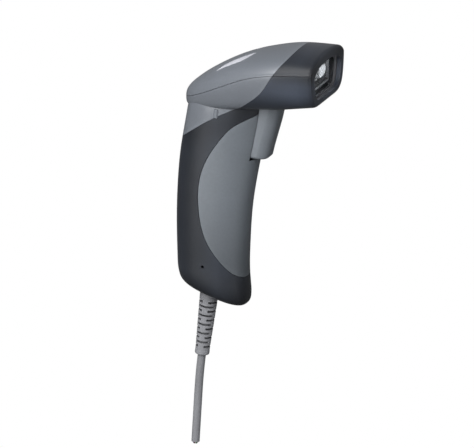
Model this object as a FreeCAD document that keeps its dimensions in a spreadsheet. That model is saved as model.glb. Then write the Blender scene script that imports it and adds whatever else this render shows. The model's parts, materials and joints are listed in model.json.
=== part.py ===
# Handheld corded barcode scanner: a pistol-grip reader with a scan head, a
# trigger, a two-colour handle and a plugged-in cable.
#
# Frame: millimetres, +Z up, +X out of the scan window, +Y to the left of the
# beam.  The origin is the centre of the flat front rim of the nose.
import FreeCAD, Part
import math
import os
import sys

Vector = FreeCAD.Vector
Rotation = FreeCAD.Rotation
Placement = FreeCAD.Placement
X_AXIS, Y_AXIS, Z_AXIS = Vector(1, 0, 0), Vector(0, 1, 0), Vector(0, 0, 1)
SIDES = ((-1, "right"), (1, "left"))

doc = FreeCAD.newDocument("barcode_scanner")
sheet = doc.addObject("Spreadsheet::Sheet", "dims")
dimensions = {}


def dim(alias, value):
    """Enter a driving dimension in the sheet (name in A, value in B); give its value back."""
    if alias not in dimensions:
        row = len(dimensions) + 1
        sheet.set("A%d" % row, alias)
        sheet.set("B%d" % row, repr(round(float(value), 5)))
        sheet.setAlias("B%d" % row, alias)
        dimensions[alias] = float(value)
    elif abs(dimensions[alias] - value) > 1e-9:
        raise RuntimeError("two values for " + alias)
    return dimensions[alias]


def bind(obj, prop, alias, value):
    dim(alias, value)
    obj.setExpression(prop, "dims." + alias)


# ---------------------------------------------------------------- main sizes
WALL = dim("wall", 2.2)
FRONT_WALL = dim("front_wall", 2.4)
SEAM_GAP = dim("seam_gap", 0.26)          # between top and lower case parts
COLOUR_GAP = dim("colour_gap", 0.12)      # between the two colours of the case
GRIP_GAP = dim("grip_gap", 0.30)          # round the grip cover
REGION_WIDTH = dim("slit_width", 80.0)    # of the prisms that divide the case
RIM_ROUND = dim("rim_edge_round", 1.8)
BASE_ROUND = dim("base_edge_round", 5.6)
WINDOW_HALF_WIDTH = dim("window_half_width", 23.0)
PIVOT_X = dim("pivot_x", -36.5)
PIVOT_Z = dim("pivot_z", -13.0)
PIN_RADIUS = dim("pin_radius", 1.25)
TRIGGER_HALF_WIDTH = dim("trigger_half_width", 9.0)
CABLE_RADIUS = dim("cable_radius", 2.45)
CABLE_LEAN = dim("cable_lean_deg", 7.0)
CABLE_X = dim("cable_origin_x", -73.7)
CABLE_Z = dim("cable_origin_z", -138.0)
MIRROR_X = dim("mirror_axis_x", -14.2)
MIRROR_Y = dim("mirror_axis_y", 15.0)

# Frame of the cable outlet: local z runs up the plug, local x to the front.
CABLE_FRAME = Placement(Vector(CABLE_X, 0, CABLE_Z), Rotation(Y_AXIS, CABLE_LEAN))
# Frame of the scan mirror at rest: local x is the mirror's normal.
MIRROR_FRAME = Placement(Vector(MIRROR_X, MIRROR_Y, 0), Rotation(Z_AXIS, -45))
# Frame of the indicator board, tilted to follow the roof.
INDICATOR_FRAME = Placement(Vector(-55.0, 0, 2.4), Rotation(Y_AXIS, -24.5))

# Fasteners: x, y of the case and engine screws; cable-frame y, z of the board's
CASE_SCREWS = ((-46.0, 17.0), (-46.0, -17.0))
ENGINE_SCREWS = ((-31.0, -15.0), (-31.0, 16.5), (-10.8, 1.5))
BOARD_SCREWS = ((-8.0, 36.0), (8.0, 36.0), (-8.0, 89.0), (8.0, 89.0))
SMALL_SHANK = 0.95        # shank radii
CASE_SHANK = 1.2
CASE_BOSS = 2.7           # boss radius
CASE_SCREW_SEAT = -15.0   # z of the counterbores' ends
REST_GAP = 0.05           # between a surface and what rests on it

# Places that several pieces share
SWITCH_Z = -25.9
BOARD_FACE = -7.6                 # front of the main board, cable-frame x
BOARD_SEAT = BOARD_FACE + REST_GAP
ENGINE_PLATE_TOP = -6.6
RELEASE_X, RELEASE_Z = -72.4, -118.7   # release hole and the way through the socket


# -------------------------------------------------------------- solid helpers
def span(half, centre=0.0):
    return (centre - half, centre + half)


def place(obj, name, at, frame, rotation=Rotation()):
    """Bind the place to the sheet, or carry it into a leaning frame."""
    if frame is None:
        obj.Placement = Placement(at, rotation)
        for axis, value in (("x", at.x), ("y", at.y), ("z", at.z)):
            bind(obj, "Placement.Base." + axis, name + "_at_" + axis, value)
    else:
        obj.Placement = frame.multiply(Placement(at, rotation))


def box(name, x_range, y_range, z_range, frame=None):
    obj = doc.addObject("Part::Box", name)
    bind(obj, "Length", name + "_len", x_range[1] - x_range[0])
    bind(obj, "Width", name + "_wid", y_range[1] - y_range[0])
    bind(obj, "Height", name + "_hgt", z_range[1] - z_range[0])
    place(obj, name, Vector(x_range[0], y_range[0], z_range[0]), frame)
    return obj


def cyl(name, at, axis, radius, length, frame=None):
    obj = doc.addObject("Part::Cylinder", name)
    bind(obj, "Radius", name + "_rad", radius)
    bind(obj, "Height", name + "_hgt", length)
    place(obj, name, Vector(*at), frame, Rotation(Z_AXIS, axis))
    return obj


def posts(name, places, radius, foot, height):
    """Upright cylinders at the given x, y places."""
    return [cyl("%s_%d" % (name, i), (x, y, foot), Z_AXIS, radius, height)
            for i, (x, y) in enumerate(places)]


def boolean(kind, name, base, tool):
    obj = doc.addObject(kind, name)
    obj.Refine = False
    obj.Base, obj.Tool = base, tool
    return obj


def cut(name, base, tool):
    return boolean("Part::Cut", name, base, tool)


def common(name, base, tool):
    return boolean("Part::Common", name, base, tool)


def fuse(name, *items):
    obj = doc.addObject("Part::MultiFuse", name)
    obj.Refine = False
    obj.Shapes = list(items)
    return obj


def group(name, *items):
    obj = doc.addObject("Part::Compound", name)
    obj.Links = list(items)
    return obj


def fixed(name, shape, frame=Placement()):
    obj = doc.addObject("Part::Feature", name)
    obj.Shape = shape
    obj.Placement = frame
    return obj


def rod(path, start, direction, radius):
    """Solid round rod swept along a wire."""
    ring = Part.Wire([Part.makeCircle(radius, start, direction)])
    return path.makePipeShell([ring], True, False)


def spline_rod(points, radius):
    curve = Part.BSplineCurve()
    curve.interpolate(points)
    direction = curve.tangent(curve.FirstParameter)[0]
    return rod(Part.Wire([curve.toShape()]), points[0], direction, radius)


# -------------------------------------------------------------- curve helpers
def spline_through(points):
    curve = Part.BSplineCurve()
    curve.interpolate([Vector(p[0], p[1], 0) for p in points])
    return curve


def sampled(points, count=60):
    """Points at even parameter steps along the spline through the given ones."""
    curve = spline_through(points)
    first, last = curve.FirstParameter, curve.LastParameter
    along = [curve.value(first + (last - first) * i / count) for i in range(count + 1)]
    return [(p.x, p.y) for p in along]


def shifted(points, distance, closed=False):
    """Each point moved by a distance to the left of the line's direction of travel."""
    moved = []
    last = len(points) - 1
    for i, point in enumerate(points):
        before = points[i - 1] if closed else points[max(0, i - 1)]
        after = points[(i + 1) % len(points)] if closed else points[min(last, i + 1)]
        run_x, run_y = minus(after, before)
        length = math.hypot(run_x, run_y)
        moved.append((point[0] - run_y / length * distance, point[1] + run_x / length * distance))
    return moved


def minus(p, q):
    return (p[0] - q[0], p[1] - q[1])


def cross(p, q):
    return p[0] * q[1] - p[1] * q[0]


def crossing(first, second):
    """Segment indices and point where two polylines cross."""
    for i in range(len(first) - 1):
        for j in range(len(second) - 1):
            run = minus(first[i], first[i + 1])
            other = minus(second[j], second[j + 1])
            between = minus(first[i], second[j])
            scale = cross(run, other)
            if abs(scale) < 1e-12:   # parallel segments
                continue
            share = cross(between, other) / scale
            other_share = cross(between, run) / scale
            if 0 <= share <= 1 and 0 <= other_share <= 1:
                return i, j, (first[i][0] - share * run[0], first[i][1] - share * run[1])
    raise RuntimeError("the parting lines don't cross")


def thin(points, count=16):
    """At most the given number of points, both ends kept."""
    if len(points) <= count:
        return points
    return [points[round(i * (len(points) - 1) / (count - 1))] for i in range(count)]


def lerp(table, x, column):
    """Value of a column at x, in a table whose first column falls."""
    for ahead, behind in zip(table, table[1:]):
        if behind[0] <= x <= ahead[0]:
            share = (x - ahead[0]) / (behind[0] - ahead[0])
            return ahead[column] + share * (behind[column] - ahead[column])
    raise ValueError("no station at x = %g" % x)


# --------------------------------------------------- sketch and body helpers
def body(name, frame=None):
    owner = doc.addObject("PartDesign::Body", name)
    if frame is not None:
        owner.Placement = frame
    return owner


def sketch(owner, name, role="XY_Plane", at=Vector(), rotation=Rotation()):
    """Sketch on an origin plane; "at" is in the plane's axes, its z the normal."""
    plane = next(o for o in owner.Origin.OriginFeatures if o.Role == role)
    profile = owner.newObject("Sketcher::SketchObject", name)
    profile.AttachmentSupport = [(plane, "")]
    profile.MapMode = "FlatFace"
    profile.AttachmentOffset = Placement(at, rotation)
    for axis, value in (("x", at.x), ("z", at.z)):
        if value:
            bind(profile, "AttachmentOffset.Base." + axis, name + "_offset_" + axis, value)
    return profile


def draw_line(profile, start, end):
    line = Part.LineSegment(Vector(start[0], start[1], 0), Vector(end[0], end[1], 0))
    profile.addGeometry(line, False)


def draw_outline(profile, runs):
    """Closed outline: each run is a corner or a spline, joined by lines where they part."""
    for i, run in enumerate(runs):
        if len(run) > 1:
            profile.addGeometry(spline_through(run), False)
        following = runs[(i + 1) % len(runs)][0]
        if math.hypot(*minus(following, run[-1])) > 1e-7:
            draw_line(profile, run[-1], following)


def corners(points):
    return [[p] for p in points]


def draw_ring(profile, points):
    """Closed cubic spline that runs close to the given points."""
    count = len(points)
    poles = list(points)
    # two passes move each pole by what the curve misses its point by
    for _ in range(2):
        improved = []
        for i in range(count):
            before, pole, after = poles[i - 1], poles[i], poles[(i + 1) % count]
            improved.append([pole[k] + points[i][k] - (before[k] + 4 * pole[k] + after[k]) / 6.0
                             for k in (0, 1)])
        poles = improved
    curve = Part.BSplineCurve()
    curve.buildFromPolesMultsKnots(
        [Vector(p[0], p[1], 0) for p in poles],
        [1] * (count + 1), [float(k) for k in range(count + 1)], True, 3)
    profile.addGeometry(curve, False)


def pad(owner, profile, alias, length, both=False):
    feature = owner.newObject("PartDesign::Pad", owner.Name + "_pad")
    feature.Profile = profile
    bind(feature, "Length", alias, length)
    if both:
        feature.SideType = "Symmetric"


def prism(name, runs, width, alias=None, role="XZ_Plane", frame=None):
    """Outline padded to both sides of its plane."""
    owner = body(name, frame)
    profile = sketch(owner, name + "_outline", role)
    draw_outline(profile, runs)
    pad(owner, profile, alias or name + "_width", width, both=True)
    return owner


def ring_prism(name, role, offset, points, depth):
    """Closed spline padded forwards from an offset plane."""
    owner = body(name)
    profile = sketch(owner, name + "_outline", role, Vector(0, 0, offset))
    draw_ring(profile, points)
    pad(owner, profile, name + "_depth", depth)
    return owner


def loft(owner, sections):
    feature = owner.newObject("PartDesign::AdditiveLoft", owner.Name + "_loft")
    feature.Profile = sections[0]
    feature.Sections = [(section, "") for section in sections[1:]]
    feature.Ruled = False


def turned(name, profile_points, frame=None):
    """Half profile (radius, height) turned about the local z axis."""
    owner = body(name, frame)
    profile = sketch(owner, name + "_profile", "XZ_Plane")
    draw_outline(profile, corners(profile_points))
    feature = owner.newObject("PartDesign::Revolution", name + "_turned")
    feature.Profile = profile
    feature.ReferenceAxis = (profile, ["V_Axis"])
    bind(feature, "Angle", "full_turn", 360.0)
    return owner


def round_edges(owner, name, alias, radius, pick):
    """Fillet the edges of the body's tip whose bounding box is picked."""
    doc.recompute()
    base = owner.Tip
    names = ["Edge%d" % (i + 1) for i, edge in enumerate(base.Shape.Edges)
             if pick(edge.BoundBox)]
    if not names:
        raise RuntimeError("no edge found for " + name)
    fillet = owner.newObject("PartDesign::Fillet", name)
    fillet.Base = (base, names)
    bind(fillet, "Radius", alias, radius)
    doc.recompute()


# -------------------------------------------------------------- the head's form
# Half cross-section, bottom centre to top centre: share of the half width, then
# share of the rise from floor to shoulder ("low") or shoulder to crown ("up").
HALF_SECTION = (
    (0.000, "low", 0.000), (0.270, "low", 0.000), (0.500, "low", 0.002),
    (0.660, "low", 0.026), (0.775, "low", 0.085), (0.862, "low", 0.190),
    (0.922, "low", 0.345), (0.965, "low", 0.560), (0.993, "low", 0.800),
    (1.000, "low", 1.000), (0.975, "up", 0.200), (0.900, "up", 0.440),
    (0.760, "up", 0.670), (0.530, "up", 0.860), (0.270, "up", 0.965),
    (0.000, "up", 1.000),
)
# x, half width, crown z, shoulder z, floor z
HEAD = (
    (0.0, 29.6, 17.0, 8.7, -13.2),
    (-10.0, 29.7, 17.3, 7.9, -14.8),
    (-22.0, 29.2, 17.0, 6.7, -16.8),
    (-34.0, 27.6, 15.0, 4.4, -18.1),
    (-46.0, 25.2, 11.9, 0.5, -19.5),
    (-56.0, 22.6, 8.0, -3.9, -20.9),
    (-66.0, 19.3, 2.8, -8.8, -22.0),
    (-75.0, 15.2, -2.9, -13.0, -22.9),
    (-81.5, 11.0, -8.0, -15.9, -23.3),
    (-85.5, 6.5, -12.1, -17.5, -22.6),
    (-87.3, 2.4, -15.8, -18.3, -20.8),
)
HALF_WIDTH, CROWN, SHOULDER, FLOOR = 1, 2, 3, 4   # columns of HEAD
# Stations where the hollow follows HEAD, and its own rows (as HEAD) at the rear tip
HOLLOW_STATIONS = (-FRONT_WALL, -10.0, -22.0, -34.0, -46.0, -56.0, -66.0, -74.0)
HOLLOW_TIP = (
    (-79.5, 9.2, -9.4, -15.0, -21.0),
    (-82.8, 5.7, -12.7, -16.4, -20.89),
    (-84.7, 2.0, -15.4, -17.6, -19.9),
)


def head_ring(half_width, crown, shoulder, floor):
    half = []
    for width_share, part, rise_share in HALF_SECTION:
        if part == "low":
            z = floor + (shoulder - floor) * rise_share
        else:
            z = shoulder + (crown - shoulder) * rise_share
        half.append((half_width * width_share, z))
    return half + [(-y, z) for y, z in reversed(half[1:-1])]


def head_floor(x):
    return lerp(HEAD, x, FLOOR)


def rim_row(x, inset):
    return (x, lerp(HEAD, x, HALF_WIDTH) - inset, lerp(HEAD, x, CROWN) - inset,
            lerp(HEAD, x, SHOULDER), head_floor(x) + inset)


def head_outer_rows():
    """The rim's rounded edge opens out in close sections, then HEAD takes over."""
    rim = [rim_row(0.0, 0.85 * RIM_ROUND), rim_row(-0.22 * RIM_ROUND, 0.36 * RIM_ROUND),
           rim_row(-0.62 * RIM_ROUND, 0.09 * RIM_ROUND), rim_row(-1.3 * RIM_ROUND, 0.0),
           rim_row(-5.0, 0.0)]
    return rim + [row for row in HEAD if row[0] < -6]


def head_inner_rows():
    """HEAD moved in by the wall, measured square to the sloping skin."""
    def inset(column, x):
        x = min(x, -4)
        slope = (lerp(HEAD, x + 2, column) - lerp(HEAD, x - 2, column)) / 4.0
        return WALL * math.hypot(1, slope)

    rows = [(x, lerp(HEAD, x, HALF_WIDTH) - inset(HALF_WIDTH, x),
             lerp(HEAD, x, CROWN) - inset(CROWN, x), lerp(HEAD, x, SHOULDER),
             head_floor(x) + WALL) for x in HOLLOW_STATIONS]
    return rows + list(HOLLOW_TIP)


def head_body(name, rows):
    owner = body(name)
    sections = []
    for i, (x, *ring) in enumerate(rows):
        section = sketch(owner, "%s_section_%d" % (name, i), "YZ_Plane", Vector(0, 0, x))
        draw_ring(section, head_ring(*ring))
        sections.append(section)
    loft(owner, sections)
    return owner


# ------------------------------------------------------------ the handle's form
# back x, z, front x, z, half width, power of the superellipse; foot first
HANDLE = (
    (-91.3, -130.4, -48.6, -145.3, 15.4, 2.5),
    (-92.4, -117.0, -49.3, -129.0, 15.9, 2.45),
    (-92.9, -100.0, -49.3, -108.0, 16.0, 2.4),
    (-92.8, -82.0, -47.9, -86.0, 16.0, 2.4),
    (-91.9, -64.0, -45.0, -66.5, 16.0, 2.4),
    (-90.2, -48.0, -41.4, -48.5, 16.0, 2.4),
    (-88.0, -35.0, -38.6, -35.0, 16.1, 2.4),
    (-86.4, -26.0, -36.9, -25.0, 16.3, 2.4),
    (-84.2, -17.5, -35.0, -12.0, 15.6, 2.4),
)
HANDLE_RING_POINTS = 28
FOOT_SHARES = (0.0, 0.07, 0.22, 0.48, 0.90)   # heights of the foot's sections / round
FOOT_END_INSET = 0.80                         # inset of the lowest section / round
FOOT_DRIFT = 0.40                             # backward drift of the foot's sections / rise


def signed_power(value, power):
    return math.copysign(abs(value) ** power, value)


def super_ring(half_depth, half_width, power):
    turns = [2 * math.pi * k / HANDLE_RING_POINTS for k in range(HANDLE_RING_POINTS)]
    return [(signed_power(math.cos(turn), 2.0 / power) * half_depth,
             signed_power(math.sin(turn), 2.0 / power) * half_width) for turn in turns]


def handle_row(station, inset):
    """Section as centre x, z, lean, half depth, half width and power."""
    back_x, back_z, front_x, front_z, half_width, power = station
    lean = math.atan2(back_z - front_z, front_x - back_x)
    half_depth = math.hypot(front_x - back_x, front_z - back_z) / 2
    return ((back_x + front_x) / 2, (back_z + front_z) / 2, lean,
            half_depth - inset, half_width - inset, power)


def foot_rows(inset, radius):
    """Closely spaced sections that round the foot of the handle over."""
    x, z, lean, half_depth, half_width, power = handle_row(HANDLE[0], inset)
    sin, cos = math.sin(lean), math.cos(lean)
    rows = []
    for share in FOOT_SHARES:
        height = share * radius
        if height > 0:
            edge = radius - math.sqrt(radius ** 2 - (radius - height) ** 2)
        else:
            edge = FOOT_END_INSET * radius
        rise = inset + height
        rows.append((x + sin * rise - cos * FOOT_DRIFT * rise,
                     z + cos * rise + sin * FOOT_DRIFT * rise,
                     lean, half_depth - edge, half_width - edge, power))
    return rows


def handle_body(name, inset, radius):
    owner = body(name)
    sections = []
    rows = foot_rows(inset, radius) + [handle_row(station, inset) for station in HANDLE[1:]]
    for i, (x, z, lean, half_depth, half_width, power) in enumerate(rows):
        section = sketch(owner, "%s_section_%d" % (name, i), "XY_Plane", Vector(x, 0, z),
                         Rotation(Y_AXIS, math.degrees(lean)))
        draw_ring(section, super_ring(half_depth, half_width, power))
        sections.append(section)
    loft(owner, sections)
    return owner


outer = fuse("outer_form", head_body("head_form", head_outer_rows()),
             handle_body("handle_form", 0.0, BASE_ROUND))
inner = fuse("inner_form", head_body("head_hollow", head_inner_rows()),
             handle_body("handle_hollow", WALL, BASE_ROUND - WALL))
shell = cut("case_shell", outer, inner)

# --------------------------------------------------------------- parting lines
# Side view curves (x, z), cut straight across the width; all start at the front.
COVER_LINE = [
    (8, 9.0), (0, 8.7), (-10, 7.95), (-24.5, 6.5), (-39.6, 3.0), (-55, -3.4),
    (-71.6, -11.5), (-85, -17.3), (-98, -22.0)]
COLOUR_LINE = [
    (-14.6, 26), (-15.4, 21.5), (-16.4, 17.6), (-19.5, 13.0), (-22.2, 9.4), (-25.0, 5.4),
    (-31.6, -4.5), (-39.6, -11.7), (-49.3, -18.4), (-60.3, -23.9), (-76.3, -33.7),
    (-87.8, -41.9), (-100, -50.2)]
GRIP_LINE = [
    (-24, -20.6), (-31, -21.2), (-38, -22.9), (-45, -26.2), (-53.9, -31.4), (-61.1, -39.2),
    (-67.7, -48.7), (-72.3, -58.2), (-74.7, -67.5), (-75.3, -76.5), (-74.7, -85.4),
    (-72.8, -95.7), (-69.4, -104.3), (-64.9, -111.3), (-59, -118.5), (-53.5, -123.6),
    (-48, -126.6), (-40, -128.2)]


def cover_line_z(x):
    return lerp(COVER_LINE, x, 1)


def split_lines(cover_side, colour_side):
    """Front and rear of the cover line, upper and lower of the colour line.

    A side of +1 moves a line half its gap down or forward, -1 up or back.
    """
    cover = shifted(sampled(COVER_LINE), cover_side * SEAM_GAP / 2)
    colour = shifted(sampled(COLOUR_LINE), colour_side * COLOUR_GAP / 2)
    i, j, corner = crossing(cover, colour)
    return {"front": thin(cover[:i + 1] + [corner]), "rear": thin([corner] + cover[i + 1:]),
            "upper": thin(colour[:j + 1] + [corner]), "lower": thin([corner] + colour[j + 1:])}


def region(name, runs):
    return prism(name, runs, REGION_WIDTH, "slit_width")


def grip_region(name, side, end_corners):
    line = thin(shifted(sampled(GRIP_LINE, 72), side * GRIP_GAP / 2), 24)
    return region(name, [line] + corners(end_corners))


# ------------------------------------------- openings that several shells share
trigger_slot = box("trigger_slot_low", (-48.5, -25.6), span(9.45), (-52.9, -8.0))
window_opening = ring_prism("window_opening", "YZ_Plane", -6,
                            head_ring(WINDOW_HALF_WIDTH, 11.3, 5.0, -9.4), 12.0)

# ------------------------------------------------------------ indicator lenses
# Right-hand lens seen from above (x, y); the left one is its mirror image.
LENS = [
    (-64.9, -12.0), (-62.0, -12.3), (-58.5, -12.7), (-54.5, -13.2), (-51.0, -13.3),
    (-48.4, -12.7), (-46.2, -11.1), (-44.3, -8.5), (-42.5, -5.3), (-44.0, -5.2),
    (-46.4, -6.0), (-49.2, -6.8), (-52.2, -7.5), (-55.5, -8.2), (-58.5, -8.9),
    (-61.3, -9.7), (-63.6, -10.8)]
LENS_CLEARANCE = 0.09


def lens_prisms(name, clearance):
    """Upright prisms through the roof, grown by a clearance."""
    prisms = []
    for side, side_name in reversed(SIDES):
        # mirroring reverses the travel, so outward changes side too
        ring = shifted([(x, -side * y) for x, y in LENS], side * clearance, closed=True)
        prisms.append(ring_prism("%s_%s" % (name, side_name), "XY_Plane", -8, ring, 30.0))
    return group(name + "s", *prisms)


def make_indicator_lens():
    """Curved slivers set flush in the roof, one on each side of its middle."""
    return common("indicator_lens", shell, lens_prisms("lens_region", 0.0))


# ------------------------------------------------------------------ case shells
def make_top_cover():
    """Roof behind the colour line, with the bosses that take the case screws."""
    lines = split_lines(-1, -1)
    cover_region = region("cover_region", [lines["rear"], [(-98, 26)], lines["upper"]])
    skin = common("top_cover_skin", shell, cover_region)
    opened = cut("top_cover_open", skin, lens_prisms("lens_hole", LENS_CLEARANCE))
    bosses = [cyl("cover_boss_%d" % i, (x, y, cover_line_z(x) + 0.35), Z_AXIS, CASE_BOSS, 14.0)
              for i, (x, y) in enumerate(CASE_SCREWS)]
    trimmed = common("cover_bosses", fuse("cover_boss_set", *bosses), outer)
    full = fuse("top_cover_full", opened, trimmed)
    pilots = posts("cover_pilot", CASE_SCREWS, CASE_SHANK + 0.03, -3.0, 10.6)
    return cut("top_cover", full, fuse("cover_pilot_set", *pilots))


def make_nose_cap():
    """Upper front of the head, round the window."""
    lines = split_lines(-1, 1)
    nose_region = region("nose_region", [lines["upper"], lines["front"][::-1], [(8, 26)]])
    skin = common("nose_cap_skin", shell, nose_region)
    return cut("nose_cap", skin, window_opening)


# A leaning rib stands inside each side of the neck; the housing has a way for it.
NECK_RIB_Y = 15.7
NECK_RIB_AXIS = Vector(0.10, 0, 1)


def make_neck_cover():
    """Band between the cover line and the colour line."""
    lines = split_lines(1, -1)
    neck_region = region("neck_region", [lines["lower"], lines["rear"][::-1]])
    skin = common("neck_cover_skin", shell, neck_region)
    ribs = [cyl("neck_rib_" + name, (-64.0, side * NECK_RIB_Y, -26.2), NECK_RIB_AXIS, 1.45, 5.2)
            for side, name in SIDES]
    full = fuse("neck_cover_full", skin, *ribs)
    ways = posts("neck_boss_way", CASE_SCREWS, CASE_BOSS + 0.25, -22.0, 34.0)
    return cut("neck_cover", full, fuse("neck_boss_ways", *ways))


def housing_additions():
    """Bosses for case, engine and board screws, and the trigger's pivot ears."""
    adds = []
    for i, (x, y) in enumerate(CASE_SCREWS):
        foot = head_floor(x) - 1
        adds.append(cyl("case_boss_%d" % i, (x, y, foot), Z_AXIS, CASE_BOSS,
                        cover_line_z(x) - 0.2 - foot))
    for i, (x, y) in enumerate(ENGINE_SCREWS):
        foot = head_floor(x) + 0.6
        adds.append(cyl("engine_boss_%d" % i, (x, y, foot), Z_AXIS, 2.5, -9.2 - foot))
    for i, (y, z) in enumerate(BOARD_SCREWS):
        adds.append(cyl("board_boss_%d" % i, (-26.0, y, z), X_AXIS, 2.4, 26.0 - 9.3,
                        CABLE_FRAME))
    for side, name in SIDES:
        adds.append(box("pivot_ear_" + name, (-39.6, -33.4), span(1.0, side * 10.75),
                        (-19.0, -10.1)))
    return adds


def housing_holes():
    holes = []
    for side, name in SIDES:
        holes.append(cyl("neck_rib_way_" + name, (-64.03, side * NECK_RIB_Y, -26.5),
                         NECK_RIB_AXIS, 1.56, 5.6))
    for i, (x, y) in enumerate(CASE_SCREWS):
        holes.append(cyl("case_screw_way_%d" % i, (x, y, -30), Z_AXIS, CASE_SHANK + 0.05, 40))
        holes.append(cyl("case_counterbore_%d" % i, (x, y, -24), Z_AXIS, 2.25,
                         CASE_SCREW_SEAT + 24))
    holes += posts("engine_pilot", ENGINE_SCREWS, SMALL_SHANK + 0.03, -13.4, 6)
    for i, (y, z) in enumerate(BOARD_SCREWS):
        holes.append(cyl("board_pilot_%d" % i, (-14.6, y, z), X_AXIS, SMALL_SHANK + 0.08, 8.0,
                         CABLE_FRAME))
    holes.append(cyl("pivot_bore", (PIVOT_X, -13, PIVOT_Z), Y_AXIS, PIN_RADIUS + 0.02, 26))
    holes.append(cyl("cable_way", (0, 0, -12), Z_AXIS, 6.1, 18.0, CABLE_FRAME))
    holes.append(cyl("release_hole", (RELEASE_X, -24, RELEASE_Z), Y_AXIS, 0.95, 12.5))
    return holes


def make_main_housing():
    """Lower head and handle in one, open in front for the grip cover."""
    lines = split_lines(1, 1)
    main_region = region("main_region", [lines["front"], lines["lower"],
                                         [(-100, -160)], [(8, -160)]])
    skin = common("main_housing_skin", shell, main_region)
    grip_hole = grip_region("grip_hole_region", -1, [(-22, -133), (-18, -100), (-18, -20.3)])
    opened = cut("main_housing_open", skin, grip_hole)
    adds = common("main_adds_trimmed", fuse("main_adds", *housing_additions()), outer)
    full = fuse("main_housing_full", opened, adds)
    holes = fuse("main_holes", window_opening, trigger_slot, *housing_holes())
    return cut("main_housing", full, holes)


def make_grip_cover():
    grip = grip_region("grip_region", 1, [(-24, -131), (-20, -100), (-20, -22)])
    skin = common("grip_cover_skin", shell, grip)
    return cut("grip_cover", skin, trigger_slot)


# ------------------------------------------------------------------ scan window
def window_ring(name, back_x, depth, *ring):
    """Slab of the head's section; ring is half width, crown, shoulder, floor."""
    return ring_prism(name, "YZ_Plane", back_x, head_ring(*ring), depth)


def make_scan_window():
    bezel_block = window_ring("bezel_block", -6.6, 4.1, 24.9, 13.3, 6.4, -10.75)
    bezel_mouth = window_ring("bezel_mouth", -7.2, 6.0, 20.9, 10.8, 4.8, -9.0)
    bezel_pocket = window_ring("bezel_pocket", -7.2, 3.4, 23.4, 12.1, 5.8, -9.9)
    bezel = cut("window_bezel", cut("bezel_open", bezel_block, bezel_mouth), bezel_pocket)
    gasket_block = window_ring("gasket_block", -4.25, 0.4, 23.3, 12.0, 5.8, -9.8)
    gasket_mouth = window_ring("gasket_mouth", -4.6, 1.2, 21.6, 11.1, 5.0, -9.25)
    gasket = cut("window_gasket", gasket_block, gasket_mouth)
    pane = window_ring("window_pane", -5.8, 1.5, 23.25, 12.0, 5.8, -9.8)
    return [bezel, gasket, pane]


# -------------------------------------------------------------------- indicator
LED_PLACES = ((-4.0, 6.3), (-4.0, -6.3), (4.0, 6.3), (4.0, -6.3))   # on the board


def make_indicator():
    board = box("indicator_board", span(8.5), span(7.5), span(0.5), INDICATOR_FRAME)
    leds = [box("led_%d" % i, span(1.1, x), span(1.1, y), (0.52, 1.7), INDICATOR_FRAME)
            for i, (x, y) in enumerate(LED_PLACES)]
    return [board, group("indicator_leds", *leds)]


# ---------------------------------------------------------------------- trigger
# Side view (x, z): front face downwards, rear face upwards, round over the pivot
TRIGGER_PROFILE = [
    [(-26.2, -11.2), (-27.1, -17.5), (-28.7, -26.0), (-30.6, -33.2), (-32.6, -40.2),
     (-34.2, -46.0), (-35.6, -52.0)],
    [(-45.2, -51.3), (-43.8, -42.0), (-42.1, -32.5), (-40.9, -24.0), (-40.5, -18.0)],
    [(-40.5, -18.0), (-40.2, -15.0), (-39.2, -11.6), (-36.5, -9.8)],
]
# Inside of the front face downwards, then corners behind the trigger
TRIGGER_HOLLOW = [
    [(-31.2, -16.2), (-31.9, -21.0), (-32.6, -26.0), (-34.5, -33.4), (-36.6, -40.4),
     (-38.1, -45.6), (-39.0, -49.4)],
    [(-50, -49.4)], [(-50, -17.0)], [(-36.0, -17.0)],
]
TRIGGER_CHEEK = 2.2
PIN_HALF_LENGTH = 11.6

# Return spring: an open coil between the bracket's seat and the trigger's wall
SPRING_TURNS = dim("spring_turns", 7.5)
SPRING_LENGTH = dim("spring_length", 11.1)
SPRING_RADIUS = dim("spring_coil_radius", 2.35)
SPRING_WIRE_RADIUS = dim("spring_wire_radius", 0.28)
SPRING_X = dim("spring_seat_x", -48.35)
SPRING_Z = dim("spring_z", -38.5)
SPRING_STUB_RADIUS = 1.5
SPRING_STEPS_PER_TURN = 16


def make_trigger():
    def front_edge(bounds):
        on_side = (bounds.YLength < 1e-3
                   and abs(abs(bounds.YMin) - TRIGGER_HALF_WIDTH) < 1e-3)
        return on_side and bounds.XMax > -27.0 and bounds.ZLength > 35

    def foot_edge(bounds):
        return bounds.ZMax < -51.2 and bounds.XMax > -45.0

    form = prism("trigger_form", TRIGGER_PROFILE, 2 * TRIGGER_HALF_WIDTH, "trigger_width")
    round_edges(form, "trigger_front_round", "trigger_round", 6.2, front_edge)
    round_edges(form, "trigger_foot_round", "trigger_foot_radius", 1.8, foot_edge)
    # hollow from behind: the front wall and two cheeks are left standing
    profile = sketch(form, "trigger_hollow_profile", "XZ_Plane")
    draw_outline(profile, TRIGGER_HOLLOW)
    pocket = form.newObject("PartDesign::Pocket", "trigger_hollow")
    pocket.Profile = profile
    pocket.SideType = "Symmetric"
    bind(pocket, "Length", "trigger_hollow_width", 2 * (TRIGGER_HALF_WIDTH - TRIGGER_CHEEK))
    doc.recompute()
    tab = box("trigger_tab", (-42.2, -30.6), span(2.6), span(1.3, SWITCH_Z))
    stub = cyl("trigger_spring_stub", (-39.4, 0, SPRING_Z), X_AXIS, SPRING_STUB_RADIUS, 5.6)
    bore = cyl("trigger_bore", (PIVOT_X, -13, PIVOT_Z), Y_AXIS, PIN_RADIUS + 0.05, 26)
    return cut("trigger", fuse("trigger_solid", form, tab, stub), bore)


def make_pivot_pin():
    return cyl("trigger_pivot_pin", (PIVOT_X, -PIN_HALF_LENGTH, PIVOT_Z), Y_AXIS, PIN_RADIUS,
               2 * PIN_HALF_LENGTH)


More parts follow.
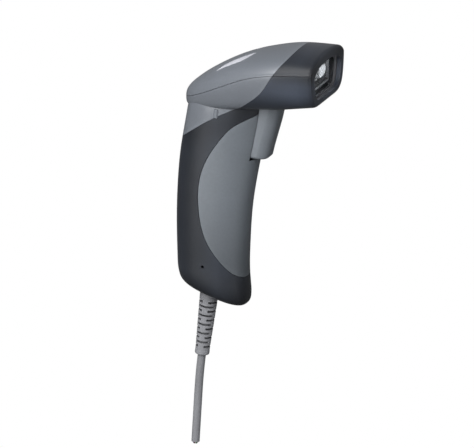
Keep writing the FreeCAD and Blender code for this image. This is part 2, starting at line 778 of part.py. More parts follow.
def make_trigger_bracket():
    """Plate behind the trigger with the spring's seat and a notch at its top."""
    plate = box("bracket_plate", (-50.2, -48.7), span(9.8), (-43.0, -17.5))
    seat = cyl("bracket_seat", (-48.8, 0, SPRING_Z), X_AXIS, SPRING_STUB_RADIUS, 3.0)
    notch = box("bracket_wire_notch", (-51.0, -48.0), (2.0, 7.0), (-22.0, -17.0))
    return cut("trigger_bracket", fuse("bracket_full", plate, seat), notch)


def make_switch():
    board = box("switch_board", (-48.65, -47.65), span(8.0), (-33.0, -18.5))
    frame = box("switch_frame", (-47.6, -43.9), span(3.2), span(3.2, SWITCH_Z))
    well = cyl("switch_well", (-46.4, 0, SWITCH_Z), X_AXIS, 1.55, 4.0)
    plunger = cyl("switch_plunger", (-45.3, 0, SWITCH_Z), X_AXIS, 1.5, 2.98)
    return [board, cut("switch_body", frame, well), plunger]


def make_trigger_spring():
    points = []
    steps = int(SPRING_TURNS * SPRING_STEPS_PER_TURN)
    for k in range(steps + 1):
        turn = 2 * math.pi * SPRING_TURNS * k / steps
        points.append(Vector(SPRING_X + SPRING_LENGTH * k / steps,
                             SPRING_RADIUS * math.cos(turn),
                             SPRING_Z + SPRING_RADIUS * math.sin(turn)))
    return fixed("trigger_spring", spline_rod(points, SPRING_WIRE_RADIUS))


# ------------------------------------------------------------------ scan engine
ENGINE_LENGTH = (-36.0, -7.4)   # x
ENGINE_WIDTH = (-19.0, 22.8)    # y
ENGINE_BOTTOM = -8.0
LASER_X, LASER_Z = -13.2, 3.4
LASER_BARREL_RADIUS = 3.0
AXLE_RADIUS = 0.6
MIRROR_Z = 0.8                  # middle height of mirror, magnet and coil
DISH_RADIUS = 34.0


def make_engine_chassis():
    plate = box("engine_plate", ENGINE_LENGTH, ENGINE_WIDTH, (ENGINE_BOTTOM, ENGINE_PLATE_TOP))
    left_wall = box("engine_side_wall", ENGINE_LENGTH, (21.8, ENGINE_WIDTH[1]),
                    (ENGINE_BOTTOM, 6.8))
    rear_wall = box("engine_rear_wall", (ENGINE_LENGTH[0], -34.8), ENGINE_WIDTH,
                    (ENGINE_BOTTOM, 6.6))
    holder = box("engine_optics_block", (-17.6, -8.8), (-18.6, -5.2), (-6.7, 7.4))
    boss = cyl("mirror_axle_boss", (MIRROR_X, MIRROR_Y, -6.7), Z_AXIS, 2.0, 0.9)
    full = fuse("engine_chassis_full", plate, left_wall, rear_wall, holder, boss)
    holes = [
        cyl("laser_bore", (LASER_X, -19.5, LASER_Z), Y_AXIS, LASER_BARREL_RADIUS + 0.02, 16.0),
        cyl("mirror_axle_bore", (MIRROR_X, MIRROR_Y, -9), Z_AXIS, AXLE_RADIUS + 0.02, 5.0),
        box("chassis_light_cut", (-30.0, -22.0), (21.0, 24.0), (-3.5, 5.0)),
    ] + posts("engine_hole", ENGINE_SCREWS, SMALL_SHANK + 0.2, -9, 3.0)
    return cut("engine_chassis", full, fuse("engine_chassis_holes", *holes))


def make_scan_mirror():
    """Slab with a shallow spherical dish in its face."""
    slab = box("mirror_slab", (1.55, 3.05), span(6.5), span(6.0, MIRROR_Z), MIRROR_FRAME)
    dish = doc.addObject("Part::Sphere", "mirror_dish")
    bind(dish, "Radius", "mirror_dish_radius", DISH_RADIUS)
    place(dish, "mirror_dish", Vector(2.45 + DISH_RADIUS, 0, MIRROR_Z), MIRROR_FRAME)
    return cut("scan_mirror", slab, dish)


def make_mirror_drive():
    """Carrier that turns on the axle, with the magnet, and the coil behind it."""
    sleeve = cyl("carrier_sleeve", (0, 0, -5.0), Z_AXIS, 1.4, 11.5, MIRROR_FRAME)
    arm = box("carrier_arm", (-1.7, 1.5), span(2.4), span(4.2, MIRROR_Z), MIRROR_FRAME)
    bore = cyl("carrier_bore", (0, 0, -7), Z_AXIS, AXLE_RADIUS + 0.05, 16, MIRROR_FRAME)
    carrier = cut("mirror_carrier", fuse("carrier_full", sleeve, arm), bore)
    magnet = box("mirror_magnet", (-3.2, -1.75), span(1.9), span(3.0, MIRROR_Z), MIRROR_FRAME)
    axle = cyl("mirror_axle", (MIRROR_X, MIRROR_Y, -7.9), Z_AXIS, AXLE_RADIUS, 15.4)
    ring = cyl("coil_ring", (-5.9, 0, MIRROR_Z), X_AXIS, 2.9, 1.6, MIRROR_FRAME)
    core_way = cyl("coil_core_way", (-7, 0, MIRROR_Z), X_AXIS, 1.2, 4, MIRROR_FRAME)
    return [carrier, magnet, axle, cut("drive_coil", ring, core_way)]


def make_laser():
    barrel = cyl("laser_barrel", (LASER_X, -18.4, LASER_Z), Y_AXIS, LASER_BARREL_RADIUS, 14.0)
    way = cyl("laser_barrel_way", (LASER_X, -16.5, LASER_Z), Y_AXIS, 1.9, 14.0)
    lens = cyl("laser_lens", (LASER_X, -6.6, LASER_Z), Y_AXIS, 1.85, 1.6)
    return [cut("laser_module", barrel, way), lens]


def make_photodiode():
    x_range, z_range = span(2.8, LASER_X), (-6.2, -0.8)
    return [box("photodiode", x_range, (-5.1, -3.3), z_range),
            box("photodiode_filter", x_range, (-3.25, -2.55), z_range)]


def make_engine_board():
    board = box("engine_board", (-37.4, -36.1), (-18.0, 21.0), (-7.4, 8.0))
    seat = -37.4 - REST_GAP   # parts stand on the rear face
    chips = group("engine_board_chips",
                  box("engine_chip_one", (-38.7, seat), (-13.0, -4.0), (-3.0, 6.0)),
                  box("engine_chip_two", (-38.4, seat), (8.0, 14.0), (-2.0, 4.0)),
                  box("engine_flex_socket", (-39.2, seat), (-2.2, 6.4), (-6.8, -4.4)))
    return [board, chips]


def make_engine_grommets():
    grommets = []
    for i, (x, y) in enumerate(ENGINE_SCREWS):
        disc = cyl("grommet_disc_%d" % i, (x, y, -9.15), Z_AXIS, 2.45, 1.1)
        way = cyl("grommet_way_%d" % i, (x, y, -10), Z_AXIS, SMALL_SHANK + 0.07, 3.0)
        grommets.append(cut("grommet_%d" % i, disc, way))
    return group("engine_grommets", *grommets)


# ----------------------------------------------------------------------- screws
# Half profiles (radius, height): shank below z = 0, pan head above it
SMALL_SCREW = [(0, -6.2), (0.55, -6.2), (SMALL_SHANK, -5.6), (SMALL_SHANK, 0), (1.95, 0),
               (1.95, 0.75), (1.45, 1.25), (0, 1.25)]
CASE_SCREW = [(0, -21.6), (0.7, -21.6), (CASE_SHANK, -20.8), (CASE_SHANK, 0), (2.1, 0),
              (2.1, 1.0), (1.6, 1.6), (0, 1.6)]
RECESS_ARM_SHARE = 0.17   # half breadth of a recess arm / recess width


def cross_head_screw(name, profile, recess_width, recess_depth):
    screw = turned(name, profile)
    recess = sketch(screw, name + "_recess", at=Vector(0, 0, profile[-1][1]))
    tip, arm = recess_width / 2.0, recess_width * RECESS_ARM_SHARE
    draw_outline(recess, corners([
        (-tip, -arm), (-arm, -arm), (-arm, -tip), (arm, -tip), (arm, -arm), (tip, -arm),
        (tip, arm), (arm, arm), (arm, tip), (-arm, tip), (-arm, arm), (-tip, arm)]))
    pocket = screw.newObject("PartDesign::Pocket", name + "_recess_cut")
    pocket.Profile = recess
    bind(pocket, "Length", name + "_recess_depth", recess_depth)
    return screw


def copies(name, source, placements):
    shapes = []
    for placement in placements:
        shape = source.Shape.Solids[0].copy()
        shape.Placement = placement.multiply(shape.Placement)
        shapes.append(shape)
    return fixed(name, Part.makeCompound(shapes))


def make_screws():
    small_screw = cross_head_screw("small_screw", SMALL_SCREW, 1.9, 0.75)
    case_screw = cross_head_screw("case_screw", CASE_SCREW, 2.4, 0.9)
    doc.recompute()   # the copies take finished shapes
    upside_down = Rotation(X_AXIS, 180)
    forward = Rotation(Z_AXIS, X_AXIS)
    return [
        copies("engine_screws", small_screw, [
            Placement(Vector(x, y, ENGINE_PLATE_TOP + REST_GAP), Rotation())
            for x, y in ENGINE_SCREWS]),
        copies("case_screws", case_screw, [
            Placement(Vector(x, y, CASE_SCREW_SEAT - REST_GAP), upside_down)
            for x, y in CASE_SCREWS]),
        copies("board_screws", small_screw, [
            CABLE_FRAME.multiply(Placement(Vector(BOARD_SEAT, y, z), forward))
            for y, z in BOARD_SCREWS]),
    ]


# ------------------------------------------------------------------- main board
# Small parts: name, front x, y range, z range, in the cable frame
BOARD_PARTS = (
    ("cap", -6.5, (-9.5, -7.5), (41, 45)), ("cap_b", -6.5, (-6.5, -4.5), (41, 45)),
    ("res_a", -6.5, (4, 6), (42, 43.5)), ("res_b", -6.5, (7, 9), (42, 43.5)),
    ("res_c", -6.5, (4, 6), (44.5, 46)), ("crystal", -5.7, (-9.5, -1.5), (62.5, 65.7)),
    ("regulator", -5.7, (-9.4, -4.4), (67, 71.5)), ("ferrite", -6.5, (8, 10), (51, 55)),
)
BEEPER_Z = 79.0


def make_main_board():
    plate = box("board_plate", (-9.2, BOARD_FACE), span(11.0), (9.5, 97.0), CABLE_FRAME)
    holes = [cyl("board_hole_%d" % i, (-10, y, z), X_AXIS, SMALL_SHANK + 0.15, 4, CABLE_FRAME)
             for i, (y, z) in enumerate(BOARD_SCREWS)]
    return cut("main_board", plate, fuse("board_hole_set", *holes))


def on_board(name, front_x, y_range, z_range):
    return box(name, (BOARD_SEAT, front_x), y_range, z_range, CABLE_FRAME)


def make_board_components():
    can = cyl("beeper_can", (BOARD_SEAT, 0, BEEPER_Z), X_AXIS, 6.0, 5.2, CABLE_FRAME)
    port = cyl("beeper_port", (-3.4, 0, BEEPER_Z), X_AXIS, 1.0, 3.0, CABLE_FRAME)
    return [
        on_board("decoder_chip", -6.15, span(6.0), (47.0, 59.0)),
        on_board("memory_chip", -6.35, (1.0, 9.0), (62.5, 68.0)),
        group("board_parts", *[on_board("board_" + part[0], *part[1:])
                               for part in BOARD_PARTS]),
        on_board("flex_connector", -5.2, span(5.5), (92.5, 96.0)),
        cut("beeper", can, port),
    ]


# --------------------------------------------------------------- flex and wires
FLEX_THICKNESS = 0.3
FLEX_WIDTH = 7.0
# Side view (x, z) from the engine board back and down to the main board
FLEX_ROUTE = [(-39.35, -5.6), (-43.0, -6.6), (-50.0, -7.4), (-57.0, -11.0),
              (-62.5, -20.0), (-65.6, -32.0)]
FLEX_END = Vector(-4.7, 0, 94.3)   # cable frame
WIRE_RADIUS = dim("wire_radius", 0.5)
WIRE_END_X = -6.9                  # cable frame
# Each wire: its points, then the cable-frame y, z of its end over the main board
SWITCH_ROUTES = (
    ([(-48.2, 5.2, -18.0), (-50.6, 5.3, -15.6), (-56.0, 6.0, -19.0), (-61.5, 7.5, -32.0),
      (-64.6, 8.3, -46.0)], (9.2, 84.0)),
    ([(-48.2, 3.6, -18.0), (-50.6, 3.9, -15.2), (-56.6, 4.6, -17.6), (-62.6, 6.0, -31.0),
      (-65.6, 6.9, -46.0)], (7.2, 84.0)),
)
INDICATOR_ROUTES = (
    ([(-56.0, -5.0, 1.0), (-58.0, -5.6, -4.0), (-62.0, -6.4, -14.0), (-65.6, -7.6, -30.0),
      (-66.6, -8.4, -44.0)], (-9.0, 84.5)),
    ([(-54.4, -5.0, 1.8), (-56.2, -5.4, -3.6), (-60.2, -5.4, -14.0), (-63.6, -6.0, -30.0),
      (-64.8, -6.4, -44.0)], (-7.2, 84.5)),
)


def make_engine_flex():
    end = CABLE_FRAME.multVec(FLEX_END)
    line = sampled(FLEX_ROUTE + [(end.x, end.z)], 24)
    left, right = (thin(shifted(line, side * FLEX_THICKNESS / 2), 12) for side in (1, -1))
    return prism("engine_flex", [left, right[::-1]], FLEX_WIDTH)


def make_wires(name, routes):
    rods = []
    for points, (end_y, end_z) in routes:
        end = CABLE_FRAME.multVec(Vector(WIRE_END_X, end_y, end_z))
        rods.append(spline_rod([Vector(*p) for p in points] + [end], WIRE_RADIUS))
    return fixed(name, Part.makeCompound(rods))


# -------------------------------------------------------- cable socket and plug
CONTACT_PLACES = [-2.8 + 1.12 * i for i in range(6)]   # cable-frame x
CONTACT_HALF = 0.2
# Side view (y, z) in the cable frame
LATCH_PROFILE = [(-3.3, 27.6), (-3.3, 25.9), (-4.6, 13.6), (-5.6, 13.6), (-5.5, 19.0),
                 (-4.5, 20.4), (-4.3, 27.6)]


def contact_boxes(name, half, y_range, z_range):
    return [box("%s_%d" % (name, i), span(half, x), y_range, z_range, CABLE_FRAME)
            for i, x in enumerate(CONTACT_PLACES)]


def make_socket():
    depth = (10.0, 28.8)
    block = box("socket_block", (-7.4, 6.6), (-7.6, 5.4), (11.5, 31.5), CABLE_FRAME)
    ways = fuse("socket_ways",
                box("socket_cavity", span(4.65), span(3.4), depth, CABLE_FRAME),
                box("socket_latch_way", span(2.4), (-6.5, -3.0), depth, CABLE_FRAME),
                cyl("socket_pin_way", (RELEASE_X, -9.0, RELEASE_Z), Y_AXIS, 1.1, 4.0),
                box("socket_contact_way", span(3.4), (3.3, 4.3), (14.0, 28.8), CABLE_FRAME))
    contacts = contact_boxes("socket_contact", CONTACT_HALF, (3.45, 4.2), (14.5, 28.6))
    return [cut("cable_socket", block, ways), group("socket_contacts", *contacts)]


def make_plug():
    block = box("plug_block", span(4.5), span(3.2), (8.0, 28.4), CABLE_FRAME)
    cord_way = cyl("plug_cord_way", (0, 0, 7.0), Z_AXIS, 2.6, 9.0, CABLE_FRAME)
    slots = contact_boxes("plug_slot", CONTACT_HALF + 0.05, (0.6, 4.0), (21.5, 29.0))
    contacts = contact_boxes("plug_contact", CONTACT_HALF, (0.7, 3.15), (21.8, 28.0))
    return [
        cut("cable_plug", block, fuse("plug_ways", cord_way, *slots)),
        group("plug_contacts", *contacts),
        prism("plug_latch", corners(LATCH_PROFILE), 4.0, role="YZ_Plane", frame=CABLE_FRAME),
    ]


# ---------------------------------------------------------------- strain relief
# Half profile (radius, z) in the cable frame: flange, sleeve and end bead
RELIEF_PROFILE = [
    (2.52, 7.6), (5.5, 7.6), (5.9, 7.0), (5.9, 3.4), (5.56, 2.8), (5.56, -1.0),
    (5.3, -8.0), (4.25, -36.6), (4.35, -37.2), (4.35, -38.7), (4.05, -39.3), (2.52, -39.3)]
SLOT_HEIGHT = dim("slot_height", 1.25)
SLOT_PITCH = dim("slot_pitch", 5.6)
SLOT_FLOOR_RADIUS = dim("slot_floor_radius", 3.25)
BRIDGE_HALF = dim("bridge_half_width", 1.75)


def slot_row(name, across, first_z, count):
    """Paired arcs round the sleeve, with bridges left standing across x or y."""
    reach = span(9.0)
    width = span(BRIDGE_HALF)
    x_range, y_range = (reach, width) if across == "x" else (width, reach)
    arcs = []
    for i in range(count):
        z = first_z - i * SLOT_PITCH - SLOT_HEIGHT / 2
        tall = SLOT_HEIGHT + 2
        disc = cyl("%s_out_%d" % (name, i), (0, 0, z), Z_AXIS, 8.0, SLOT_HEIGHT, CABLE_FRAME)
        core = cyl("%s_in_%d" % (name, i), (0, 0, z - 1), Z_AXIS, SLOT_FLOOR_RADIUS, tall,
                   CABLE_FRAME)
        ring = cut("%s_ring_%d" % (name, i), disc, core)
        bridge = box("%s_bridge_%d" % (name, i), x_range, y_range, (z - 1, z - 1 + tall),
                     CABLE_FRAME)
        arcs.append(cut("%s_arc_%d" % (name, i), ring, bridge))
    return arcs


def make_strain_relief():
    sleeve = turned("strain_relief_form", RELIEF_PROFILE, CABLE_FRAME)
    slots = slot_row("side_slot", "y", -5.9, 6) + slot_row("front_slot", "x", -8.7, 5)
    return cut("strain_relief", sleeve, group("relief_slots", *slots))


# ------------------------------------------------------------------------ cable
# The cord hangs straight, bends gently to the front, then runs straight again.
BEND_START = dim("bend_start", -42.0)
BEND_LENGTH = dim("bend_length", 20.0)
BEND_ANGLE = math.radians(dim("bend_angle_deg", 3.5))
BEND_RADIUS = BEND_LENGTH / BEND_ANGLE
TAIL_LENGTH = dim("tail_length", 32.5)
CONDUCTOR_RADIUS = dim("conductor_radius", 0.42)
CONDUCTOR_RING = dim("conductor_ring", 1.0)
CONDUCTOR_TOP = 15.9
CONDUCTOR_OVERHANG = 1.2   # beyond the end of the jacket
SHIELD_RADII = (1.70, 1.52)
JACKET_BORE = 1.72


def bend_point(angle, offset_x=0.0, offset_y=0.0, beyond=0.0):
    """Point of the bend, moved sideways and then on along the cord."""
    sin, cos = math.sin(angle), math.cos(angle)
    return Vector(BEND_RADIUS * (1 - cos) + offset_x * cos + beyond * sin, offset_y,
                  BEND_START - BEND_RADIUS * sin + offset_x * sin - beyond * cos)


def make_cord(name, top_z, radii):
    """Tube between two radii carried along the cord's centre line."""
    owner = body(name, CABLE_FRAME)
    path = sketch(owner, name + "_path", "XZ_Plane")
    centre_line = (bend_point(0), bend_point(BEND_ANGLE / 2), bend_point(BEND_ANGLE),
                   bend_point(BEND_ANGLE, beyond=TAIL_LENGTH))
    start, middle, end, tail_end = [(p.x, p.z) for p in centre_line]
    draw_line(path, (0, top_z), start)
    path.addGeometry(Part.Arc(*[Vector(*p, 0) for p in (start, middle, end)]), False)
    draw_line(path, end, tail_end)
    section = sketch(owner, name + "_section", "XY_Plane", Vector(0, 0, top_z))
    for radius in radii:
        section.addGeometry(Part.Circle(Vector(), Z_AXIS, radius), False)
    doc.recompute()   # the sweep starts from finished sketches
    sweep = owner.newObject("PartDesign::AdditivePipe", name + "_sweep")
    sweep.Profile = section
    sweep.Spine = (path, [])
    return owner


def make_conductors():
    strands = []
    for i in range(6):
        turn = math.radians(60 * i + 15)
        offset = (CONDUCTOR_RING * math.cos(turn), CONDUCTOR_RING * math.sin(turn))
        top = Vector(*offset, CONDUCTOR_TOP)
        start, middle, end = [bend_point(share * BEND_ANGLE, *offset)
                              for share in (0, 0.5, 1)]
        tip = bend_point(BEND_ANGLE, *offset, TAIL_LENGTH + CONDUCTOR_OVERHANG)
        path = Part.Wire([Part.makeLine(top, start), Part.Arc(start, middle, end).toShape(),
                          Part.makeLine(end, tip)])
        strands.append(rod(path, top, Z_AXIS, CONDUCTOR_RADIUS))
    return fixed("cable_conductors", Part.makeCompound(strands), CABLE_FRAME)


# ------------------------------------------------------------- build and export
pieces = [
    make_top_cover(), make_nose_cap(), make_neck_cover(), make_main_housing(),
    make_grip_cover(), *make_scan_window(), make_indicator_lens(), *make_indicator(),
    make_wires("indicator_wires", INDICATOR_ROUTES),
    make_trigger(), make_pivot_pin(), make_trigger_spring(), make_trigger_bracket(),
    *make_switch(), make_wires("switch_wires", SWITCH_ROUTES),
    make_engine_chassis(), *make_engine_board(), make_scan_mirror(), *make_mirror_drive(),
    *make_laser(), *make_photodiode(), make_engine_grommets(), make_engine_flex(),
    make_main_board(), *make_board_components(), *make_screws(),
    *make_socket(), *make_plug(), make_strain_relief(),
    make_cord("cable_jacket", 15.5, (CABLE_RADIUS, JACKET_BORE)),
    make_cord("cable_shield", 14.6, SHIELD_RADII), make_conductors(),
]

doc.recompute()
failed = [o.Name for o in doc.Objects if {"Invalid", "Error"} & set(o.State)]
if failed:
    sys.exit("failed objects: " + ", ".join(failed))
for piece in pieces:
    if piece.Shape.isNull() or not piece.Shape.isValid() or not piece.Shape.Solids:
        sys.exit("bad shape: " + piece.Label)

os.makedirs("parts", exist_ok=True)
for piece in pieces:
    piece.Shape.exportStep(os.path.join("parts", piece.Label + ".step"))
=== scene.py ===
"""Handheld scanner: a head with a scan window over a grip with a trigger and a cable.

Metres, Z up and front toward +X. The camera looks from the -Y side, a little
toward the front. The CAD pieces get procedural materials, and the drive coil
is rebuilt as wound wire.
"""
import json
import math
import bpy
import bmesh
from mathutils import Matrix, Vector


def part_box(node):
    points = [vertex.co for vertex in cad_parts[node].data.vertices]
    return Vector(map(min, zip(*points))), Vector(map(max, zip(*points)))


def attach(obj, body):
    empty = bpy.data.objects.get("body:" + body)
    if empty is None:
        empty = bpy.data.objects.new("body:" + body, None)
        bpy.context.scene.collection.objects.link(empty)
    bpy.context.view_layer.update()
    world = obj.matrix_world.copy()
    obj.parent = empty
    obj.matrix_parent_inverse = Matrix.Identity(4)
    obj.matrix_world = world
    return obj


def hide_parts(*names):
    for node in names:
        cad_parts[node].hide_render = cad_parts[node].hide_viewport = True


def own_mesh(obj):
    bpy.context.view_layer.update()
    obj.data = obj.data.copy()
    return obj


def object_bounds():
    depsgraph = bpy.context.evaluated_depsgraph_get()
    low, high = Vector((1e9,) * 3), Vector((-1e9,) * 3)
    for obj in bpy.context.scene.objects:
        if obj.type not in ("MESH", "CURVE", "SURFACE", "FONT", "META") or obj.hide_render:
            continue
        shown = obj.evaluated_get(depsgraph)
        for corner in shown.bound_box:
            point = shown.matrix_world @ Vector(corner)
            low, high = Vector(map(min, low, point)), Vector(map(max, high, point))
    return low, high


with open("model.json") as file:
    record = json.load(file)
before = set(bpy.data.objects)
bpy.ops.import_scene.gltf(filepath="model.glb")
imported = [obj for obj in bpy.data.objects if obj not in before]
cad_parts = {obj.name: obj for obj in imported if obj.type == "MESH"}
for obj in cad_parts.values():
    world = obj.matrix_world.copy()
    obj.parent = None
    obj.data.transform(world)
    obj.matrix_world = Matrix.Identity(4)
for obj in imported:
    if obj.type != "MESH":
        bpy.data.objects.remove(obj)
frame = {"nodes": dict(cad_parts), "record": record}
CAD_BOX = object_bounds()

NODES = frame["nodes"]
MM = 0.001
MATS = {}


# ------------------------------------------------------------ shader graphs
def grey(value):
    return (value, value, value)


def shade(colour, factor):
    """The colour made lighter or darker, held within 0 to 1."""
    return tuple(max(0.0, min(1.0, x * factor)) for x in colour)


class Graph:
    """Builds the shader tree of a material or world."""

    def __init__(self, owner, output="OutputMaterial"):
        owner.use_nodes = True
        self.tree = owner.node_tree
        self.tree.nodes.clear()
        self.output = self.node(output)

    def feed(self, socket, value):
        """Link a socket to another, or set its value; colours get alpha 1."""
        if isinstance(value, bpy.types.NodeSocket):
            self.tree.links.new(value, socket)
        elif socket.type == "RGBA":
            socket.default_value = (*value, 1.0)
        else:
            socket.default_value = value

    def node(self, kind, inputs=None, **settings):
        node = self.tree.nodes.new("ShaderNode" + kind)
        for key, value in settings.items():
            setattr(node, key, value)
        for key, value in (inputs or {}).items():
            self.feed(node.inputs[key], value)
        return node

    def surface(self, shader):
        self.feed(self.output.inputs["Surface"], shader.outputs[0])

    def coords(self, scale=(1, 1, 1)):
        place = self.node("TexCoord").outputs["Object"]
        return self.node("Mapping", {"Vector": place, "Scale": scale}).outputs["Vector"]

    def noise(self, vector, scale, detail=3.0, rough=0.55):
        inputs = {"Vector": vector, "Scale": scale, "Detail": detail, "Roughness": rough}
        return self.node("TexNoise", inputs).outputs["Fac"]

    def cells(self, vector, scale, radius):
        """A mask of round dots, one in each Voronoi cell."""
        voronoi = self.node("TexVoronoi", {"Vector": vector, "Scale": scale})
        return self.maths("LESS_THAN", voronoi.outputs["Distance"], radius)

    def ramp(self, factor, stops, interpolation="LINEAR"):
        """Colour ramp through stops of (position, colour)."""
        node = self.node("ValToRGB", {"Fac": factor})
        node.color_ramp.interpolation = interpolation
        elements = node.color_ramp.elements
        while len(elements) < len(stops):
            elements.new(0.5)
        for element, (position, colour) in zip(elements, stops):
            element.position = position
            element.color = (*colour, 1.0)
        return node.outputs["Color"]

    def mottle(self, factor, base, dark, light, low=0.3, high=0.7):
        """Base colour drifting between two shades of itself."""
        return self.ramp(factor, [(low, shade(base, dark)), (high, shade(base, light))])

    def remap(self, value, low, high):
        """Spread a 0 to 1 value over low to high."""
        inputs = {"Value": value, "To Min": low, "To Max": high}
        return self.node("MapRange", inputs).outputs["Result"]

    def maths(self, operation, *values):
        return self.node("Math", dict(enumerate(values)), operation=operation).outputs[0]

    def mix(self, factor, a, b, blend="MIX"):
        """Mix two colours; sockets 6 and 7 are the colour pair of the Mix node."""
        node = self.node("Mix", data_type="RGBA", blend_type=blend)
        for index, value in ((0, factor), (6, a), (7, b)):
            self.feed(node.inputs[index], value)
        return node.outputs[2]

    def mix_shader(self, factor, first, second):
        inputs = {"Fac": factor, 1: first.outputs[0], 2: second.outputs[0]}
        return self.node("MixShader", inputs)

    def bump(self, height, strength, distance):
        return self.node("Bump", {"Height": height, "Strength": strength, "Distance": distance})

    def bevel_bump(self, height, strength, distance, bevel):
        """Bump over edges rounded in shading by the bevel radius."""
        bump = self.bump(height, strength, distance)
        rounded = self.node("Bevel", {"Radius": bevel}, samples=4)
        self.feed(bump.inputs["Normal"], rounded.outputs["Normal"])
        return bump


def material_graph(name):
    MATS[name] = bpy.data.materials.new(name)
    return Graph(MATS[name])


# ------------------------------------------------------------ kinds of material
def worn_edges(g, vector, colour, base, wear):
    """Lighten convex edges, broken up by scuffs."""
    pointiness = g.node("NewGeometry").outputs["Pointiness"]
    edge = g.ramp(pointiness, [(0.505, grey(0)), (0.56, grey(1))])
    scuff = g.noise(vector, scale=160.0, detail=4.0, rough=0.7)
    edge = g.maths("MULTIPLY", g.maths("MULTIPLY", edge, scuff), wear)
    return g.mix(edge, colour, shade(base, 2.2))


def paint_light_along(g, colour, stops, axis, low, span):
    """Painted light and shade: multiply the colour by factors given at places along an object
    axis.
    """
    place = g.node("TexCoord").outputs["Object"]
    split = g.node("SeparateXYZ", {0: place})
    inputs = {"Value": split.outputs[axis], "From Min": low, "From Max": low + span}
    place = g.node("MapRange", inputs).outputs["Result"]
    # a ramp colour ends at 1, so it holds half the factor and is doubled after
    half = g.ramp(place, [((at - low) / span, grey(factor / 2)) for at, factor in stops])
    product = g.node("VectorMath", {0: colour, 1: half}, operation="MULTIPLY")
    inputs = {0: product.outputs[0], "Scale": 2.0}
    return g.node("VectorMath", inputs, operation="SCALE").outputs[0]


def paint_recess_shade(g, colour, base, recess_shade, reach):
    """Painted shade: darken where surfaces lie within reach of each other."""
    occlusion = g.node("AmbientOcclusion", {"Distance": reach}, samples=8)
    openness = g.ramp(occlusion.outputs["AO"], [(0.25, grey(0)), (0.85, grey(1))])
    dark = g.maths("MULTIPLY", g.maths("SUBTRACT", 1.0, openness), recess_shade)
    return g.mix(dark, colour, shade(base, 0.10))


def moulded(name, base, *, rough, grain=900.0, depth=3e-5, strength=0.35, vary=0.10,
            wear=0.25, spec=0.5, coat=0.0, sheen=0.0, bevel=0.00025, fleck=0.0,
            recess_shade=0.0, reach=0.0008, painted_light_z=None, along=None):
    """Moulded plastic: fine grain, slow colour drift, handled patches, worn edges.

    grain, depth and strength shape the bump; vary is the colour drift; the lists of (place in
    metres, factor) along Z and X are painted light and shade, and the recess factor paints
    shade into recesses.
    """
    g = material_graph(name)
    vector = g.coords()
    drift = g.noise(vector, scale=38.0, detail=2.0)
    colour = g.mottle(drift, base, 1 - vary, 1 + vary, low=0.25, high=0.75)
    fine = g.noise(vector, scale=grain * 0.55, detail=2.0)
    colour = g.mix(0.25, colour, g.mottle(fine, base, 0.86, 1.14))
    if fleck:
        dust = g.cells(vector, scale=420.0, radius=0.045)
        colour = g.mix(g.maths("MULTIPLY", dust, fleck), colour, shade(base, 3.0))
    colour = worn_edges(g, vector, colour, base, wear)
    # painted light and shade along Z and X
    if painted_light_z:
        colour = paint_light_along(g, colour, painted_light_z, axis="Z", low=-0.16, span=0.18)
    if along:
        colour = paint_light_along(g, colour, along, axis="X", low=-0.10, span=0.105)
    # painted shade in recesses and gaps
    if recess_shade:
        colour = paint_recess_shade(g, colour, base, recess_shade, reach)
    patch = g.noise(vector, scale=55.0)
    height = g.noise(vector, grain, rough=0.6)
    g.surface(g.node("BsdfPrincipled", {
        "Base Color": colour,
        "Roughness": g.remap(patch, max(0.03, rough - 0.07), min(1.0, rough + 0.07)),
        "Normal": g.bevel_bump(height, strength, depth, bevel).outputs["Normal"],
        "Specular IOR Level": spec,
        "Coat Weight": coat,
        "Coat Roughness": 0.18,
        "Sheen Weight": sheen,
        "Sheen Roughness": 0.4,
    }))


def metal(name, base, *, rough, streak=(1, 1, 1), depth=1e-5, patina=0.15, scale=900.0,
          metallic=1.0, up_faces_shaded=False):
    """Metal with a patina; the upward-faces flag turns upward faces near-black as painted
    shade.
    """
    g = material_graph(name)
    shader = g.node("BsdfPrincipled", {"Metallic": metallic})
    vector = g.coords(streak)
    stain = g.noise(vector, scale=120.0, detail=4.0)
    colour = g.mottle(stain, base, 1 - patina, 1 + patina * 0.6)
    # upward faces near-black: painted shade on the floor seen through the window
    if up_faces_shaded:
        split = g.node("SeparateXYZ", {0: g.node("NewGeometry").outputs["Normal"]})
        up_shade_mask = g.maths("GREATER_THAN", split.outputs["Z"], 0.7)
        colour = g.mix(up_shade_mask, colour, (0.010, 0.010, 0.011))
        bare = g.maths("SUBTRACT", 1.0, up_shade_mask)
        g.feed(shader.inputs["Metallic"], g.maths("MULTIPLY", bare, metallic))
    polish = g.noise(vector, scale, detail=4.0, rough=0.7)
    bump = g.bevel_bump(g.noise(vector, scale), strength=0.4, distance=depth, bevel=0.0001)
    g.feed(shader.inputs["Base Color"], colour)
    g.feed(shader.inputs["Roughness"], g.remap(polish, max(0.04, rough - 0.1), rough + 0.1))
    g.feed(shader.inputs["Normal"], bump.outputs["Normal"])
    g.surface(shader)


def clear_sheet(name, *, tint, rough, ior, strength):
    """Flat window: see-through body, angle-dependent reflection and faint smears."""
    g = material_graph(name)
    body = g.node("BsdfTransparent", {"Color": tint})
    smear = g.noise(g.coords(), scale=90.0)
    gloss = g.node("BsdfGlossy", {"Roughness": g.remap(smear, rough, rough + 0.08)})
    fresnel = g.node("Fresnel", {"IOR": ior}).outputs["Fac"]
    g.surface(g.mix_shader(g.maths("MULTIPLY", fresnel, strength), body, gloss))


def clear_solid(name, base, *, rough, transmission, ior=1.49, vary=0.05):
    g = material_graph(name)
    vector = g.coords()
    tint = g.noise(vector, scale=120.0)
    haze = g.noise(vector, scale=300.0)
    g.surface(g.node("BsdfPrincipled", {
        "Base Color": g.mottle(tint, base, 1 - vary, 1 + vary),
        "Roughness": g.remap(haze, rough, rough + 0.06),
        "Transmission Weight": transmission,
        "IOR": ior,
    }))


